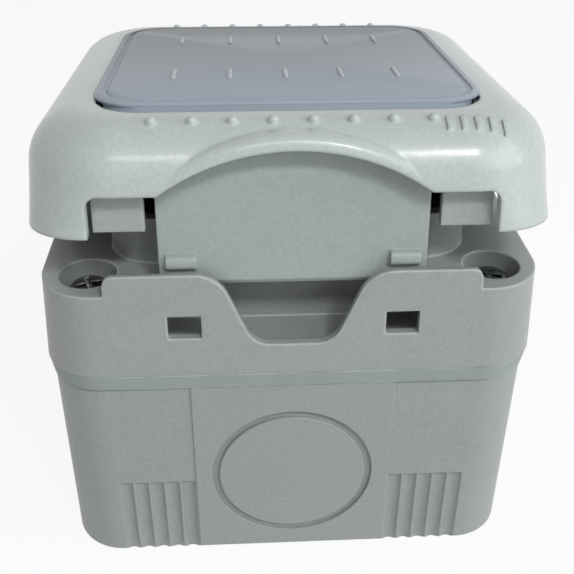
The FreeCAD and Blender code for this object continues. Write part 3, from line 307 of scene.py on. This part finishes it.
# ---------------------------------------------------------------------------------------------
# The hinge pins and the flap's pin: plain drawn steel wire, cut square. The lid turns on the two
# hinge pins, and the flap on its own pin.
pin_colour = (0.5, 0.5, 0.51)
pin_steel = plated_metal("pin_steel", pin_colour, roughness=0.32, stain=0.3)
for node in ("hinge_pins", "flap_pin"):
    dress(node, pin_steel)

# ---------------------------------------------------------------------------------------------
# Inside: a mounting plate on four posts, and a plain round outlet insert of darker moulding
# compound that sits in it.
plate_colour = (0.46, 0.48, 0.46)
insert_colour = (0.30, 0.32, 0.33)
inside_edge_round = 0.0004
plate_plastic = moulded_plastic("plate_plastic", plate_colour, roughness=0.5, edge=inside_edge_round)
dress("mounting_plate", plate_plastic)
insert_plastic = moulded_plastic("insert_plastic", insert_colour, roughness=0.35, edge=inside_edge_round)
dress("socket_insert", insert_plastic)

# ---------------------------------------------------------------------------------------------
# The lid: the lightest moulding, with a crowned top, a rolled brow over the arched opening and two
# rows of grip dots. Its skin is glossier than the base's. The liner screwed up inside it and the
# latch flap that hangs from the liner are plainer and darker.
lid_colour = (0.49, 0.55, 0.54)
liner_colour = (0.36, 0.385, 0.375)
flap_colour = (0.345, 0.395, 0.375)
lid_plastic = moulded_plastic("lid_plastic", lid_colour, roughness=0.33, edge=0.0008, grain=0.7, gloss=0.35)
dress("lid_shell", lid_plastic)
liner_plastic = moulded_plastic("liner_plastic", liner_colour, roughness=0.4, edge=0.0004)
dress("lid_liner", liner_plastic)
# The flap's higher edge tone paints a highlight on its edges, partly as wear.
flap_plastic = moulded_plastic("flap_plastic", flap_colour, roughness=0.4, edge=0.0005, wear_and_highlight_tone=1.35)
dress("latch_flap", flap_plastic)

# ---------------------------------------------------------------------------------------------
# The window pane: smoked polycarbonate, set into the lid on a thin seal. It is painted paler at the
# front than at the hinge side, where the darker colour is painted shade, and the dark violet on its
# edges is painted shade. A thin lip at its sides and back laps over the recess.
pane_colour = (0.45, 0.52, 0.60)
# The darker colour is painted shade at the hinge side, and the violet edge colour is painted shade along
# the edges.
pane_shade_colour = (0.14, 0.17, 0.19)
pane_edge_shade_colour = (0.17, 0.14, 0.27, 1.0)
pane_half_width = 0.0302
pane_front, pane_back, pane_corner = -0.0306, 0.0282, 0.0070
pane_top, pane_foot = 0.0009, -0.0013
foot_bevel, foot_rise = 0.0003, 0.0002
lip_side, lip_front, lip_foot, lip_edge = -0.0014, 0.0014, 0.0001, 0.0003
groove_floor, shoulder = pane_top - 0.0004, pane_top - 0.00015
crown_side, crown_front = 0.0013, 0.0036
lid_top, lid_top_slope = 0.0764, math.radians(2.4)
lid_joint = frame["record"]["behaviour"]["joints"][0]
lid_ajar = math.radians(-lid_joint["range_deg"][0])
hinge_place = Matrix.Translation(lid_joint["pos_m"])
lid_raised = hinge_place @ Matrix.Rotation(-lid_ajar, 4, "X") @ hinge_place.inverted()
on_lid_top = lid_raised @ Matrix.Translation((0, 0, lid_top)) @ Matrix.Rotation(lid_top_slope, 4, "X")


def smoked_plastic(name, colour, shaded_colour, edge_colour):
    """Smoked plastic that passes a little light. Its tint drifts, and goes from one colour at the
    front to a darker one at the hinge side, which is painted shade. Its edges take a third colour,
    which paints shade lines on the pane's edges and a highlight on the ticks' edges. Haze roughens it."""
    drift, shading_rate, edge_share = 0.05, 17.0, 0.75
    clear_rough, haze_rough, moulded_edge = 0.12, 0.15, 0.0004
    material, wire = new_material(name)
    place = object_place(wire)
    slow = noise(wire, place, scale=40.0, detail=3.0)
    haze = noise(wire, place, scale=600.0, detail=4.0)
    along = wire.node("ShaderNodeSeparateXYZ", {}, {"Vector": place}, output="Y")
    deep = (along * shading_rate + 0.5).clamped()
    rounded = rounded_normal(wire, moulded_edge)
    near = wire.blend(slow, shade(colour, 1 - drift), shade(colour, 1 + drift))
    far = wire.blend(slow, shade(shaded_colour, 1 - drift), shade(shaded_colour, 1 + drift))
    # Painted shade: the tint darkens toward the hinge side.
    tint = wire.blend(deep, near, far)
    # The edge colour paints shade lines on the pane's edges and a highlight on the ticks' edges.
    rimmed = wire.blend(edge_mask(wire, rounded, gain=7.0) * edge_share, tint, edge_colour)
    finish_material(wire, {
        "Base Color": rimmed,
        "Roughness": haze * haze_rough + clear_rough,
        "Normal": rounded,
        "Transmission Weight": 0.12,
        "IOR": 1.49,
        "Specular IOR Level": 0.05,
    })
    return material


def placed(points, place):
    """Points of any grid shape, turned and moved by a 4 by 4 matrix."""
    matrix = np.array(place)
    return points @ matrix[:3, :3].T + matrix[:3, 3]


def surface(name, sheets, material, body, crease=35.0, merge=0.0000005):
    """One piece from grids of points. Rows are joined to the next row, columns wrap round, doubled
    points at the poles are merged, and edges sharper than the crease stay sharp."""
    corners, faces, start = [], [], 0
    for sheet in sheets:
        rows, columns = sheet.shape[:2]
        index = start + np.arange(rows * columns).reshape(rows, columns)
        beside = np.roll(index, -1, axis=1)
        quads = np.stack([index[:-1], beside[:-1], beside[1:], index[1:]], axis=-1)
        corners.append(sheet.reshape(-1, 3))
        faces.append(quads.reshape(-1, 4))
        start += rows * columns
    mesh = bpy.data.meshes.new(name)
    mesh.from_pydata(np.concatenate(corners).tolist(), [], np.concatenate(faces).tolist())
    shell = bmesh.new()
    shell.from_mesh(mesh)
    bmesh.ops.remove_doubles(shell, verts=shell.verts, dist=merge)
    bmesh.ops.recalc_face_normals(shell, faces=shell.faces)
    shell.to_mesh(mesh)
    shell.free()
    mesh.polygons.foreach_set("use_smooth", np.ones(len(mesh.polygons), bool))
    mesh.set_sharp_from_angle(angle=math.radians(crease))
    mesh.materials.append(material)
    piece = bpy.data.objects.new(name, mesh)
    bpy.context.scene.collection.objects.link(piece)
    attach(piece, body)
    return piece


def pane_rings(steps, count=12):
    """Rings of a rounded rectangle. Each step is the ring's side inset, its further inset at the
    front, its height and its share of the full size. Corner arcs are radius times cosine and sine."""
    quarters = [np.linspace(start, start + 90.0, count) for start in (0.0, 90.0, 180.0, 270.0)]
    turn = np.radians(np.concatenate(quarters))
    side = np.repeat([1.0, -1.0, -1.0, 1.0], count)
    rear = np.repeat([True, True, False, False], count)
    inset, further, height, share = (np.array(column)[:, None] for column in zip(*steps))
    radius = pane_corner - inset
    across = side * (pane_half_width - pane_corner) + radius * np.cos(turn)
    middle = np.where(rear, pane_back - pane_corner, pane_front + pane_corner + further)
    along = middle + radius * np.sin(turn)
    return np.stack([across * share, along * share, height + 0 * across], axis=-1)


smoked_pane = smoked_plastic("smoked_pane", pane_colour, pane_shade_colour, pane_edge_shade_colour)
# The rings go up from the bevelled foot, out over the recess as the lip, in and down to the floor
# of the groove that runs round the pane, and up to the edge of the flat crown.
pane_steps = [
    (foot_bevel, 0.0, pane_foot, 0.0),
    (foot_bevel, 0.0, pane_foot, 1.0),
    (0.0, 0.0, pane_foot + foot_rise, 1.0),
    (0.0, 0.0, lip_foot, 1.0),
    (lip_side, lip_front, lip_foot, 1.0),
    (lip_side, lip_front, lip_foot + lip_edge, 1.0),
    (lip_side + 0.0002, 0.0015, pane_top - 0.0003, 1.0),
    (-0.0002, 0.0015, shoulder, 1.0),
    (0.0, 0.0016, groove_floor, 1.0),
    (0.0004, 0.0014, groove_floor, 1.0),
    (0.0007, 0.0016, groove_floor, 1.0),
    (0.0008, 0.0020, shoulder, 1.0),
    (0.0011, 0.0032, pane_top - 0.00005, 1.0),
    (crown_side, crown_front, pane_top, 1.0),
    (crown_side, crown_front, pane_top, 0.0),
]
pane = surface("pane", [placed(pane_rings(pane_steps), on_lid_top)], smoked_pane, "lid")
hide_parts("window_pane")

# ---------------------------------------------------------------------------------------------
# Two rows of five raised ticks, moulded on the pane in a paler tone. Each is a low rounded bar,
# and a nick near its far end leaves a short cap. Their pale edges are a painted highlight, and their
# darker colour toward the hinge side is painted shade.
tick_colour = (0.60, 0.62, 0.68)
# Darker toward the hinge side as painted shade, and paler at the edges as a painted highlight.
tick_shade_colour = (0.42, 0.44, 0.50)
tick_edge_highlight_colour = (0.75, 0.75, 0.80, 1.0)
tick_length, tick_width, tick_rise, tick_pitch = 0.0066, 0.0009, 0.0003, 0.0096
tick_rows, tick_columns = (-0.0130, 0.0147), (-2, -1, 0, 1, 2)
tick_squareness, tick_sink = 12, 0.4
nick_place, nick_reach, nick_depth = 0.80, 0.035, 0.55


def low_bar(middle_x, middle_y):
    """A closed low bar. Rows run along it and columns round its section: a half ellipse above the
    pane and a flatter one sunk in it. Height and width fall to nothing at both ends, as the root
    of one less a high power, and the height dips at the nick by a bell curve."""
    run = np.linspace(0.0, 1.0, 25)[:, None]
    turn = np.linspace(0.0, 2.0 * np.pi, 16, endpoint=False)[None, :]
    swell = np.sqrt(np.clip(1.0 - np.abs(2.0 * run - 1.0) ** tick_squareness, 0.0, 1.0))
    nick = 1.0 - nick_depth * np.exp(-((run - nick_place) / nick_reach) ** 2)
    across = middle_x + 0.5 * tick_width * swell * np.cos(turn)
    along = middle_y + (run - 0.5) * tick_length + 0 * turn
    lift = np.where(np.sin(turn) > 0, np.sin(turn) * nick, tick_sink * np.sin(turn))
    height = pane_top + tick_rise * swell * lift
    return placed(np.stack([across, along, height], axis=-1), on_lid_top)


tick_plastic = smoked_plastic("tick_plastic", tick_colour, tick_shade_colour, tick_edge_highlight_colour)
bars = [low_bar(tick_pitch * column, row) for row in tick_rows for column in tick_columns]
surface("pane_ticks", bars, tick_plastic, "lid")

# ---------------------------------------------------------------------------------------------
# The studio: a plain pale floor, four soft lamps and an even pale surround. The key lamp stands to
# the right, a small lamp draws a line of light along the lid's crest, a wide one lights the brow,
# and a weak one fills the front.
floor_reach, floor_grey, floor_glow = 3.0, 0.9, 0.9
lamp_target = (0.0, 0.0, 0.04)
ambient = 0.21


def seen_rays(wire):
    """One for rays from the camera, mirrors and glass, and zero for those that carry light."""
    straight = wire.node("ShaderNodeLightPath", {}, {}, output="Is Camera Ray")
    mirrored = wire.node("ShaderNodeLightPath", {}, {}, output="Is Glossy Ray")
    passed = wire.node("ShaderNodeLightPath", {}, {}, output="Is Transmission Ray")
    return (straight + mirrored + passed).clamped()


def soft_lamp(name, place, width, height, power):
    """A rectangular area lamp that faces the middle of the object."""
    data = bpy.data.lights.new(name, "AREA")
    data.shape = "RECTANGLE"
    data.size, data.size_y = width, height
    data.energy = power
    lamp = bpy.data.objects.new(name, data)
    lamp.location = place
    away = Vector(place) - Vector(lamp_target)
    lamp.rotation_euler = away.to_track_quat("Z", "Y").to_euler()
    bpy.context.scene.collection.objects.link(lamp)


floor_corners = [(floor_reach * x, floor_reach * y, 0.0) for x, y in ((-1, -1), (1, -1), (1, 1), (-1, 1))]
floor_mesh = bpy.data.meshes.new("floor")
floor_mesh.from_pydata(floor_corners, [], [(0, 1, 2, 3)])
floor = bpy.data.objects.new("floor", floor_mesh)
bpy.context.scene.collection.objects.link(floor)
floor_paint, wire = new_material("floor_paint")
matt = wire.node("ShaderNodeBsdfDiffuse", {}, {"Color": (floor_grey, floor_grey, floor_grey, 1.0)})
glow = wire.node("ShaderNodeEmission", {}, {"Color": (1.0, 1.0, 1.0, 1.0), "Strength": 1.0})
glowing = seen_rays(wire) * floor_glow
close_tree(wire, wire.node("ShaderNodeMixShader", {}, {0: glowing, 1: matt, 2: glow}))
floor_mesh.materials.append(floor_paint)

soft_lamp("key_lamp", place=(0.76, -0.34, 0.42), width=0.60, height=0.60, power=2.8)
soft_lamp("crest_lamp", place=(0.27, -0.56, 0.68), width=0.12, height=0.12, power=1.8)
soft_lamp("brow_lamp", place=(0.04, -0.56, 0.68), width=0.46, height=0.10, power=1.45)
soft_lamp("front_lamp", place=(0.50, -0.66, 0.42), width=0.36, height=0.36, power=0.6)
world = bpy.data.worlds.new("surround")
world.use_nodes = True
world.node_tree.nodes.clear()
wire = Wire(world.node_tree)
sky = {"Color": (1.0, 1.0, 1.0, 1.0), "Strength": seen_rays(wire) * (1 - ambient) + ambient}
surround = wire.node("ShaderNodeBackground", {}, sky)
world_output = world.node_tree.nodes.new("ShaderNodeOutputWorld")
world.node_tree.links.new(surround.socket, world_output.inputs["Surface"])
bpy.context.scene.world = world
bpy.context.scene.view_settings.view_transform = "Standard"
